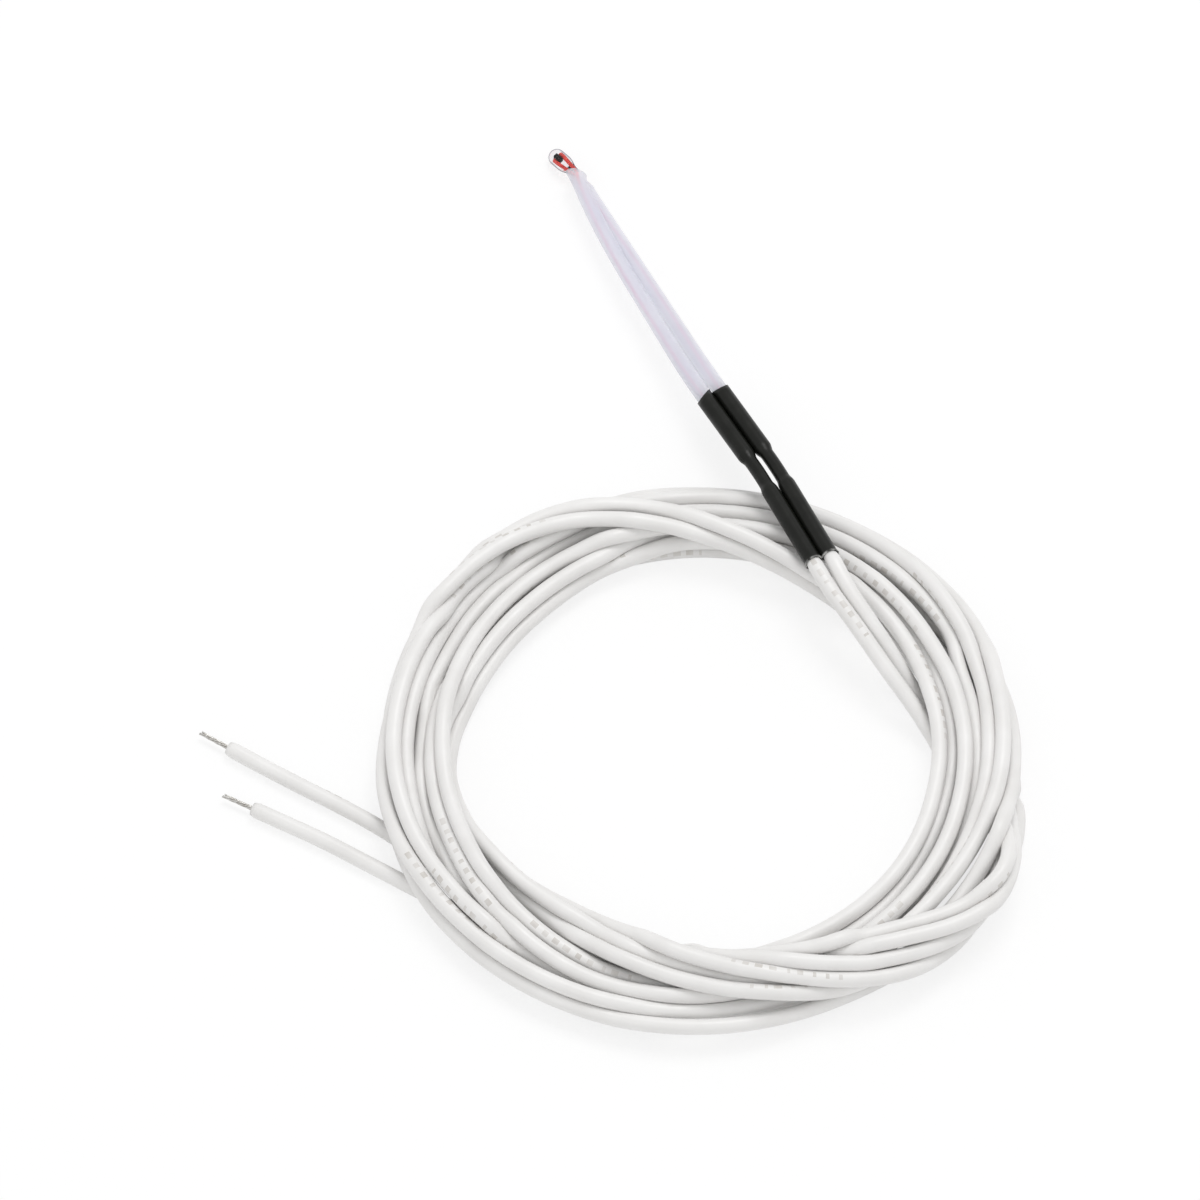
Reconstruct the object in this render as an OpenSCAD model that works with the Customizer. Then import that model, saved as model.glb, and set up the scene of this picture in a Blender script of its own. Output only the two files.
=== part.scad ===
// Glass bead thermistor probe with a twin white lead wound in a loose coil.
// Millimetres. The probe runs along Y with its bead towards +Y, everything rests on z = 0,
// and the origin is under the middle of the probe, from the bead to the mouth of the black tubes.

/* [Glass bead] */
// Outside diameter of the bead
bead_od = 1.6; // [1.2:0.1:2.2]
// Length of the bead from the end of its neck to its round tip
bead_len = 3.7; // [3.2:0.1:5]
// Length of the straight round stretch behind the tip
bead_straight = 1; // [0.6:0.1:1.4]
// Diameter of the neck that the leads come out of
neck_od = 0.9; // [0.8:0.05:1.1]
// Sideways bend between the sleeves and the bead, in degrees
bead_bend = 10; // [0:1:20]
// Downward bend between the sleeves and the bead, in degrees
bead_droop = 9; // [6:1:14]

/* [Sensing chip] */
// Length of the chip along the bead
chip_len = 0.9; // [0.6:0.05:1]
// Width of the chip
chip_w = 0.5; // [0.3:0.05:0.7]
// Thickness of the chip between its two leads
chip_t = 0.3; // [0.15:0.01:0.35]

/* [Bead leads] */
// Diameter of an oxide-coated lead wire
lead_od = 0.25; // [0.15:0.01:0.26]
// Turn of the plane that holds both leads in the glass, in degrees
lead_plane = 12; // [0:1:30]

/* [Sleeves] */
// Outside diameter of a milky sleeve
sleeve_od = 1.44; // [1.2:0.02:1.8]
// Bore of a sleeve
sleeve_bore = 0.9; // [0.7:0.02:1]
// Length of a sleeve from the black tube to its end at the bead
sleeve_run = 28.8; // [15:0.1:60]
// Length of a sleeve held inside the black tube
sleeve_grip = 8.2; // [4:0.2:12]
// How far the left sleeve climbs round the right one on its way to the bead, in degrees
sleeve_twist = 75; // [20:1:80]
// Slope of the sleeves' cut ends, both longer on their left, as rise over width
sleeve_cut = 0.8; // [0:0.1:0.9]
// Gap between the sleeves and the bead's neck
neck_gap = 0.6; // [0.4:0.1:1.5]

/* [Heat-shrink tubes] */
// Wall of a shrunk tube
shrink_wall = 0.13; // [0.06:0.01:0.2]
// Length of the narrow neck over the solder joint
neck_len = 3.1; // [3:0.1:5]
// Length over which a tube changes its diameter
shoulder_len = 1; // [0.6:0.1:1.6]
// Length of the wire's insulation held inside the tube
wire_grip = 9.5; // [6:0.5:14]
// Diameter of the flared lip at the wire end
lip_od = 1.74; // [1.6:0.02:2]
// Length of the flare
lip_len = 0.6; // [0.3:0.1:1]
// Sideways bend at the neck, in degrees
neck_bend = 4; // [1:0.5:8]
// Sideways bend just past the tubes, in degrees, the other way
mouth_bend = 2.1; // [0:0.1:6]

/* [Splices] */
// Greatest diameter of a solder joint
solder_od = 1; // [0.7:0.05:1.3]
// Length of a solder joint
solder_len = 2.6; // [2:0.1:2.8]
// Diameter of the tinned stranded conductor
conductor_od = 0.45; // [0.3:0.01:0.5]

/* [Wires] */
// Outside diameter of a wire's insulation
wire_od = 1.5; // [1.2:0.05:1.8]
// How much thinner the insulation is where the black tube squeezes it
squeeze = 0.14; // [0.1:0.02:0.3]
// Length of the bare end
bare_len = 3.5; // [2:0.1:6]

/* [Coil] */
// Diameter of the coil at the middle of its turns
coil_d = 52; // [50:1:54]
// Width of the coil's band of turns
band_w = 7.4; // [6.8:0.2:8.4]
// Height of the coil's band of turns
band_h = 5; // [4.6:0.1:6]
// Rounding of the band's section
band_round = 2.2; // [1.5:0.1:2.3]

/* [Hidden] */
$fn = 48;
LEFT = -1;
RIGHT = 1;

// Facet counts and stations of the swept wires and sleeves
wire_sides = 8;
lead_sides = 8;
sleeve_sides = 20;
sleeve_steps = 12;
shoulder_steps = 6;

// Radii that follow from what sits inside each tube
joint_play = 0.05;
hair = 0.005;
bead_r = bead_od / 2;
lead_r = lead_od / 2;
wire_r = wire_od / 2;
gripped_r = (wire_od - squeeze) / 2;
upper_r = sleeve_od / 2 + hair + shrink_wall;
lower_r = gripped_r + hair + shrink_wall;
throat_r = (solder_od + joint_play) / 2 + shrink_wall;
lip_r = max(lip_od / 2, lower_r + hair);
pair_half = max(upper_r, lower_r) + hair;

// Slanted scissor cuts at the sleeve end of each black tube: turn about Z, then tilt about X
left_cut = [21, 27];
right_cut = [30, 1];
cut_spare = 1;

// How far the curved neck reaches into the shoulders at its ends, in degrees of its bend
neck_lap = 0.06;

// Run of the probe from the mouth of the black tubes, measured along its own line
lower_run = wire_grip + shoulder_len;
upper_run = shoulder_len + sleeve_grip;
bend_r = neck_len / (neck_bend * PI / 180);
settle_run = 6;
head_len = bead_len - bead_r;

function about_x(a, p) = [p.x, p.y * cos(a) - p.z * sin(a), p.y * sin(a) + p.z * cos(a)];
function about_z(a, p) = [p.x * cos(a) - p.y * sin(a), p.x * sin(a) + p.y * cos(a), p.z];

// The left sleeve's place about the right one, at a share u of the way to the bead: the two close up
// to each other over the first half, and most of the climb comes near the bead
pair_gap = 0.02;
twist_power = 2.5;
closing_share = 0.5;
function twist_at(u) = sleeve_twist * pow(u, twist_power);
function pair_pitch(u) = ease(2 * pair_half, sleeve_od + pair_gap, min(1, u / closing_share));
function drift(t) = tan(mouth_bend) * (t < settle_run ? t * t / (2 * settle_run) : t - settle_run / 2);
function right_axis(t) = [pair_half + (t > 0 ? drift(t) : 0), t, 0];
function left_axis(t) =
    let (u = max(t, 0) / sleeve_run)
    right_axis(t) + pair_pitch(u) * [-cos(twist_at(u)), 0, sin(twist_at(u))];
function sleeve_axis(side, t) = side == RIGHT ? right_axis(t) : left_axis(t);
function neck_centre() =
    let (ends = sleeve_axis(LEFT, sleeve_run) + sleeve_axis(RIGHT, sleeve_run))
    [ends.x / 2 + drift(neck_gap + settle_run / 2), sleeve_run + neck_gap, ends.z / 2];

function neck_point(p) = neck_centre() + about_z(bead_bend - mouth_bend, about_x(-bead_droop, p));

// Height of the probe: it bears on the coil at one end, and on its bead or right sleeve at the other
coil_from_mouth = [-19.2, -12.3];
bear_r = coil_d / 2 + band_w / 2 - band_round;
bear_x = coil_from_mouth.x + pair_half;
bear_run = coil_from_mouth.y + sqrt(bear_r * bear_r - bear_x * bear_x);
bear_z = band_h + lower_r + 2 * hair;
function probe_point(p) =
    about_z(mouth_yaw, [-bend_r, lower_run, 0] + about_z(neck_bend, p + [bend_r, upper_run, 0]));
function slope_to(p, z) =
    let (run = p.y - bear_run) atan2(p.z, run) + asin((bear_z - z) / norm([run, p.z]));
mouth_yaw = -neck_bend / 2;
head = probe_point(neck_point([0, head_len, 0]));
right_end = probe_point(right_axis(sleeve_run));
slope = min(slope_to(head, bead_r + hair), slope_to(right_end, sleeve_od / 2 + hair));
left_edge = probe_point([-pair_half, 0, 0]).x - upper_r;
right_edge = right_end.x + sleeve_od / 2;
mouth = [
    -(left_edge + right_edge) / 2,
    -(head.y * cos(slope) + bead_r) / 2,
    bear_z + bear_run * sin(slope)
];
coil_centre = [mouth.x + coil_from_mouth.x, mouth.y + coil_from_mouth.y, 0];

// Routes of the free wires: the exits count from the mouth, the tails from the coil's centre
left_exit_route = [
    [-0.8, -3.2, 6.5], [-0.5, -5.6, 6.15], [-0.15, -7.9, 5.6], [0.2, -10, 4.9], [0.55, -12.2, 4.2],
    [1, -14.2, 3.4], [1.4, -16.3, 2.6], [1.65, -18, 1.9], [1.8, -19.6, 1.4], [1.7, -21.4, 0.95],
    [1.35, -23.3, 0.75]
];
right_exit_route = [
    [0.8, -3.7, 6.35], [1.05, -5.9, 5.8], [1.4, -7.9, 5], [1.75, -9.8, 4.1], [2.05, -11.6, 3.1],
    [2.35, -13.6, 2], [2.65, -15.6, 1.15], [3, -17.8, 0.8], [3.25, -20.2, 0.75], [3.2, -22.9, 0.75]
];
left_tail_route = [
    [-25.6, -1, 1.4], [-26.9, 3, 1.1], [-28.7, 7.3, 0.75], [-31, 11.4, 0.75], [-33.4, 15.2, 0.75],
    [-35.6, 18.8, 0.75], [-37.6, 22.2, 0.75]
];
right_tail_route = [
    [-25.8, -6.6, 1.4], [-27.6, -2.4, 1.05], [-29.8, 1.6, 0.75], [-32.1, 5.4, 0.75], [-34.3, 9, 0.75],
    [-36.5, 12.2, 0.75], [-38.6, 15.2, 0.75]
];

// Frames along the probe, each with +Y running towards the bead

module from_mouth() {
    translate(mouth) rotate([-slope, 0, 0]) rotate([0, 0, mouth_yaw]) children();
}

module past_throat(share = 1) {
    translate([0, lower_run, 0])
        translate([-bend_r, 0, 0]) rotate([0, 0, neck_bend * share]) translate([bend_r, 0, 0])
            children();
}

module from_upper_end() {
    from_mouth() past_throat() translate([0, upper_run, 0]) children();
}

module from_neck() {
    from_upper_end() translate(neck_centre())
        rotate([0, 0, bead_bend - mouth_bend]) rotate([-bead_droop, 0, 0]) children();
}

function mouth_point(p) = mouth + about_x(-slope, about_z(mouth_yaw, p));

// Shape helpers

function ease(a, b, u) = a + (b - a) * (1 - cos(180 * u)) / 2;
function unit(v) = v / norm(v);
function heading(path, i) = unit(path[min(i + 1, len(path) - 1)] - path[max(i - 1, 0)]);

// Circle of points square to a path at its point i
function path_ring(path, i, r, sides) =
    let (t = heading(path, i), s = unit(cross(t, [0, 0, 1])), u = cross(s, t))
    [for (k = [0:sides - 1]) path[i] + r * (cos(360 * k / sides) * s + sin(360 * k / sides) * u)];

// Circle of points square to Y, sheared by a slanted cut
function cut_ring(centre, r, sides, shear) =
    [for (k = [0:sides - 1]) let (a = 360 * k / sides)
        centre + r * [cos(a), shear * cos(a), sin(a)]];

// Solid through a list of rings, capped at both ends, or closed back on itself as a hollow tube
module skin(rings, hollow = false) {
    sides = len(rings[0]);
    count = len(rings);
    spans = hollow ? count : count - 1;
    walls = [for (i = [0:spans - 1], k = [0:sides - 1])
        let (a = i * sides + k, b = i * sides + (k + 1) % sides,
             c = ((i + 1) % count) * sides + (k + 1) % sides, d = ((i + 1) % count) * sides + k)
        each [[a, b, d], [b, c, d]]];
    caps = hollow ? [] : [
        [for (k = [sides - 1:-1:0]) k],
        [for (k = [0:sides - 1]) (count - 1) * sides + k]
    ];
    polyhedron(points = [for (r = rings) each r], faces = concat(walls, caps));
}

// Solid of revolution about Y from a section drawn in [radius, y]
module turned() {
    rotate([-90, 0, 0]) rotate_extrude() children();
}

// Round pin about Y from y0 to y1
module pin(y0, y1, r) {
    translate([0, y0, 0]) rotate([-90, 0, 0]) cylinder(h = y1 - y0, r = r);
}

// Outline points of a smooth change of radius along y
function shoulder(r0, r1, y0) =
    [for (k = [0:shoulder_steps]) let (u = k / shoulder_steps) [ease(r0, r1, u), y0 + u * shoulder_len]];

// Outline of a thin wall from its outer points, listed in order along y
function walled(outer, wall) =
    concat(outer, [for (k = [len(outer) - 1:-1:0]) outer[k] - [wall, 0]]);

// Glass bead, chip and leads

lead_reach = chip_len * 0.8;
chip_far = bead_len - bead_r + 0.05;
chip_near = chip_far - chip_len;
neck_side = lead_r + 0.015;
lead_lean = atan((chip_t / 2 + lead_r + hair - neck_side) / chip_near);
lead_slack = 0.8 * (sleeve_bore - lead_od) / 2;
lead_close = 0.9;
lead_dip = neck_len / 2 - 0.2;

module chip_block() {
    rotate([0, -lead_plane, 0])
        translate([-chip_t / 2, chip_near, -chip_w / 2]) cube([chip_t, chip_len, chip_w]);
}

// Way of a lead through the glass, leaning out from the neck so that it just clears the chip
module lead_channel(side) {
    rotate([0, -lead_plane, 0]) translate([side * neck_side, 0, 0]) rotate([0, 0, -side * lead_lean])
        pin(-lead_od, (chip_near + lead_reach) / cos(lead_lean), lead_r);
}

function glass_outline() = concat(
    [[0, 0], [neck_od / 2 - 0.08, 0]],
    [for (k = [0:shoulder_steps]) let (u = k / shoulder_steps)
        [ease(neck_od / 2, bead_r, u), 0.1 + u * (head_len - bead_straight - 0.1)]],
    [[bead_r, head_len], [0, head_len]]);

module glass_bead() {
    color([0.86, 0.87, 0.9, 0.4]) from_neck() difference() {
        turned() {
            polygon(glass_outline());
            translate([0, head_len]) intersection() {
                circle(r = bead_r);
                square(bead_r);
            }
        }
        chip_block();
        lead_channel(LEFT);
        lead_channel(RIGHT);
    }
}

module sensing_chip() {
    color([0.06, 0.06, 0.07]) from_neck() chip_block();
}

// Lead axis: in the solder joint, slack inside the sleeve, then across the gap into the glass
function lead_in_sleeve(side, t) =
    let (u = max(t, 0) / sleeve_run, towards = unit(neck_centre() - [0, neck_gap, 0]
            - sleeve_axis(side, sleeve_run)), close = ease(0, 1, max(0, 6 * u - 5)))
    sleeve_axis(side, t) + lead_slack * (side * sin(180 * u) * [1, 0, 0]
        + close * lead_close * [towards.x, 0, towards.z]);

function lead_in_glass(side, y) =
    let (out = side * (neck_side + y * tan(lead_lean)))
    neck_point([out * cos(lead_plane), y, out * sin(lead_plane)]);

function lead_path(side) = concat(
    [[side * pair_half, -upper_run - lead_dip, 0], [side * pair_half, -upper_run / 2, 0]],
    [for (k = [0:sleeve_steps]) lead_in_sleeve(side, sleeve_run * k / sleeve_steps)],
    [for (y = [-lead_r, chip_near + lead_reach]) lead_in_glass(side, y)]);

module bead_lead(side) {
    path = lead_path(side);
    color([0.78, 0.2, 0.12]) from_upper_end()
        skin([for (i = [0:len(path) - 1]) path_ring(path, i, lead_r, lead_sides)]);
}

// Sleeves, one straight and one climbing round it

module sleeve(side) {
    stations = concat([-sleeve_grip],
        [for (k = [0:sleeve_steps - 1]) sleeve_run * k / sleeve_steps], [sleeve_run - 1, sleeve_run]);
    last = len(stations) - 1;
    function wall_rings(r) = [for (i = [0:last])
        cut_ring(sleeve_axis(side, stations[i]), r, sleeve_sides, i == last ? -sleeve_cut : 0)];
    inner = wall_rings(sleeve_bore / 2);
    color([0.87, 0.86, 0.91, 0.6]) from_upper_end()
        skin(concat(wall_rings(sleeve_od / 2), [for (i = [last:-1:0]) inner[i]]), hollow = true);
}

// Splices inside the narrow necks

module conductor(side) {
    color([0.75, 0.74, 0.72]) from_mouth() translate([side * pair_half, 0, 0])
        pin(wire_grip, lower_run + neck_len / 2 - 0.2, conductor_od / 2);
}

module solder_joint(side) {
    half = solder_len / 2;
    outline = [
        [0, -half], [0.62, -half], [0.86, -0.6 * half], [1, -0.2 * half], [1, 0.15 * half],
        [0.8, 0.55 * half], [0.42, half], [0, half]
    ];
    color([0.7, 0.7, 0.71]) difference() {
        from_mouth() past_throat(0.5) translate([side * pair_half, 0, 0])
            turned() polygon([for (p = outline) [p.x * solder_od / 2, p.y]]);
        conductor(side);
        from_mouth() past_throat() translate([side * pair_half, 0, 0]) pin(-lead_dip, 1, lead_r);
    }
}

// Black heat-shrink tubes

function lip_outline() =
    [for (k = [0:4]) let (u = k / 4) [lower_r + (lip_r - lower_r) * pow(1 - u, 2), u * lip_len]];

module slant(cut) {
    rotate([cut.x, 0, cut.y]) translate([-2, 0, -2]) cube([4, 3, 4]);
}

module heat_shrink(side) {
    half_side = side == RIGHT ? 0 : -4;
    color([0.1, 0.1, 0.1]) difference() {
        from_mouth() {
            intersection() {
                translate([side * pair_half, 0, 0]) turned()
                    polygon(walled(concat(lip_outline(), shoulder(lower_r, throat_r, wire_grip)), shrink_wall));
                translate([half_side + side * hair, -1, -2]) cube([4, lower_run + 2, 4]);
            }
            translate([-bend_r, lower_run, 0]) rotate([0, 0, -neck_lap])
                rotate_extrude(angle = neck_bend + 2 * neck_lap) translate([bend_r + side * pair_half, 0])
                    difference() {
                        circle(r = throat_r - hair);
                        circle(r = throat_r - shrink_wall + hair);
                    }
            past_throat() translate([side * pair_half, 0, 0]) turned()
                polygon(walled(concat(shoulder(throat_r, upper_r, 0), [[upper_r, upper_run + cut_spare]]),
                               shrink_wall));
        }
        from_upper_end() translate([side * pair_half, 0, 0]) slant(side == LEFT ? left_cut : right_cut);
    }
}

// White wires

function exit_path(side) =
    let (free = side == LEFT ? left_exit_route : right_exit_route)
    concat([for (y = [wire_grip, wire_grip / 2, 0, -1.2]) mouth_point([side * pair_half, y, 0])],
           [for (p = free) [mouth.x + p.x, mouth.y + p.y, p.z]]);

module wire_exit(side) {
    path = exit_path(side);
    color([0.93, 0.93, 0.92])
        skin([for (i = [0:len(path) - 1]) path_ring(path, i, i < 3 ? gripped_r : wire_r, wire_sides)]);
}

function tail_path(side) =
    [for (p = side == LEFT ? left_tail_route : right_tail_route) coil_centre + p];

module wire_tail(side) {
    path = tail_path(side);
    color([0.93, 0.93, 0.92])
        skin([for (i = [0:len(path) - 1]) path_ring(path, i, wire_r, wire_sides)]);
}

// Section of the coil's band, with round corners
module band_section() {
    $fn = 24;
    inset = [band_w / 2 - band_round, band_h / 2 - band_round];
    square([2 * inset.x, band_h], center = true);
    square([band_w, 2 * inset.y], center = true);
    for (sx = [-1, 1], sy = [-1, 1]) translate([sx * inset.x, sy * inset.y]) circle(r = band_round);
}

module wire_coil() {
    color([0.93, 0.93, 0.92]) difference() {
        translate([coil_centre.x, coil_centre.y, band_h / 2])
            rotate_extrude($fn = 72) translate([coil_d / 2, 0]) band_section();
        for (side = [LEFT, RIGHT]) {
            wire_exit(side);
            wire_tail(side);
        }
    }
}

module stripped_end(side) {
    path = tail_path(side);
    way = heading(path, len(path) - 1);
    color([0.78, 0.77, 0.75]) translate(path[len(path) - 1])
        rotate([0, 0, atan2(way.y, way.x) - 90]) pin(0, bare_len, conductor_od / 2);
}

glass_bead();
sensing_chip();
bead_lead(LEFT);  // bead_lead_left
bead_lead(RIGHT);  // bead_lead_right
sleeve(LEFT);  // sleeve_left
sleeve(RIGHT);  // sleeve_right
solder_joint(LEFT);  // solder_joint_left
solder_joint(RIGHT);  // solder_joint_right
conductor(LEFT);  // conductor_left
conductor(RIGHT);  // conductor_right
heat_shrink(LEFT);  // heat_shrink_left
heat_shrink(RIGHT);  // heat_shrink_right
wire_exit(LEFT);  // wire_exit_left
wire_exit(RIGHT);  // wire_exit_right
wire_coil();
wire_tail(LEFT);  // wire_tail_left
wire_tail(RIGHT);  // wire_tail_right
stripped_end(LEFT);  // stripped_end_left
stripped_end(RIGHT);  // stripped_end_right
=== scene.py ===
"""Looks of a glass bead thermistor probe whose twin white lead lies in a loose coil.

Lengths are in metres and angles in degrees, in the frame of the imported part.
"""
import math
from itertools import combinations

import bmesh
import bpy
import numpy as np
from mathutils import Matrix, Vector


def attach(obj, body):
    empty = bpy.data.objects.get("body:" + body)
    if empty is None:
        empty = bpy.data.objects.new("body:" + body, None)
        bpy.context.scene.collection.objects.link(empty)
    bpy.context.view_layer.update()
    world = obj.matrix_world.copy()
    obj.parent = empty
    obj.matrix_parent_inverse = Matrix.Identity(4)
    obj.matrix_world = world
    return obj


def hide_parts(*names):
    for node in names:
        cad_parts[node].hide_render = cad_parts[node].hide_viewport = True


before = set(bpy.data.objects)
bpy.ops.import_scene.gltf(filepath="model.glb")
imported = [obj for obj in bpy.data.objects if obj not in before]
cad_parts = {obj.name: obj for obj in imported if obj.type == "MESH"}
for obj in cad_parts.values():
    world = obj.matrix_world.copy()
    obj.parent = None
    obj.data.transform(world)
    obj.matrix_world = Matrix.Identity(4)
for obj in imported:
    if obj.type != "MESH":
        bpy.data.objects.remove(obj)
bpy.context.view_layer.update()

MM = 0.001
LEFT = -1
RIGHT = 1
SIDES = {LEFT: "left", RIGHT: "right"}

# Sizes of the pieces, as the part's source has them
BEAD_D = 1.6 * MM
BEAD_LEN = 3.7 * MM
BEAD_STRAIGHT = 1 * MM
NECK_D = 0.9 * MM
BEAD_BEND = 10
BEAD_DROOP = 9
CHIP_LEN = 0.9 * MM
CHIP_W = 0.5 * MM
CHIP_T = 0.3 * MM
LEAD_D = 0.25 * MM
LEAD_PLANE = 12
SLEEVE_D = 1.44 * MM
SLEEVE_BORE = 0.9 * MM
SLEEVE_RUN = 28.8 * MM
SLEEVE_GRIP = 8.2 * MM
SLEEVE_TWIST = 75
SLEEVE_CUT = 0.8
NECK_GAP = 0.6 * MM
SHRINK_WALL = 0.13 * MM
NECK_LEN = 3.1 * MM
SHOULDER_LEN = 1 * MM
WIRE_GRIP = 9.5 * MM
LIP_D = 1.74 * MM
LIP_LEN = 0.6 * MM
NECK_BEND = 4
MOUTH_BEND = 2.1
SOLDER_D = 1 * MM
WIRE_D = 1.5 * MM
SQUEEZE = 0.14 * MM
BARE_LEN = 3.5 * MM
CONDUCTOR_D = 0.45 * MM
HAIR = 0.005 * MM
JOINT_PLAY = 0.05 * MM
PAIR_GAP = 0.02 * MM
TWIST_POWER = 2.5
CLOSING_SHARE = 0.5
SETTLE_RUN = 6 * MM

# What follows from them
BEAD_R = BEAD_D / 2
HEAD_LEN = BEAD_LEN - BEAD_R
LEAD_R = LEAD_D / 2
WIRE_R = WIRE_D / 2
GRIPPED_R = (WIRE_D - SQUEEZE) / 2
UPPER_R = SLEEVE_D / 2 + HAIR + SHRINK_WALL
LOWER_R = GRIPPED_R + HAIR + SHRINK_WALL
THROAT_R = (SOLDER_D + JOINT_PLAY) / 2 + SHRINK_WALL
PAIR_HALF = max(UPPER_R, LOWER_R) + HAIR
LOWER_RUN = WIRE_GRIP + SHOULDER_LEN
UPPER_RUN = SHOULDER_LEN + SLEEVE_GRIP
BEND_R = NECK_LEN / math.radians(NECK_BEND)

# Where the mouth of the black tubes and the coil's centre are, and the probe's slope down to its bead
MOUTH = Vector((0.00005195, -0.0277498, 0.00674624))
SLOPE = 6.45747
COIL_CENTRE = MOUTH + Vector((-0.0192, -0.0123, -0.00674624))

# Routes of the free wires, with heights above the floor: the exits count from the mouth, the tails from the
# coil's centre
EXIT_ROUTE = {
    LEFT: [
        (-0.0008, -0.0032, 0.0065), (-0.0005, -0.0056, 0.00615), (-0.00015, -0.0079, 0.0056),
        (0.0002, -0.01, 0.0049), (0.00055, -0.0122, 0.0042), (0.001, -0.0142, 0.0034),
        (0.0014, -0.0163, 0.0026), (0.00165, -0.018, 0.0019), (0.0018, -0.0196, 0.0014),
        (0.0017, -0.0214, 0.00095), (0.00135, -0.0233, 0.00075),
    ],
    RIGHT: [
        (0.0008, -0.0037, 0.00635), (0.00105, -0.0059, 0.0058), (0.0014, -0.0079, 0.005),
        (0.00175, -0.0098, 0.0041), (0.00205, -0.0116, 0.0031), (0.00235, -0.0136, 0.002),
        (0.00265, -0.0156, 0.00115), (0.003, -0.0178, 0.0008), (0.00325, -0.0202, 0.00075),
        (0.0032, -0.0229, 0.00075),
    ],
}
TAIL_ROUTE = {
    LEFT: [
        (-0.0256, -0.001, 0.0014), (-0.0269, 0.003, 0.0011), (-0.0287, 0.0073, 0.00075),
        (-0.031, 0.0114, 0.00075), (-0.0334, 0.0152, 0.00075), (-0.0356, 0.0188, 0.00075),
        (-0.0376, 0.0222, 0.00075),
    ],
    RIGHT: [
        (-0.0258, -0.0066, 0.0014), (-0.0276, -0.0024, 0.00105), (-0.0298, 0.0016, 0.00075),
        (-0.0321, 0.0054, 0.00075), (-0.0343, 0.009, 0.00075), (-0.0365, 0.0122, 0.00075),
        (-0.0386, 0.0152, 0.00075),
    ],
}

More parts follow.
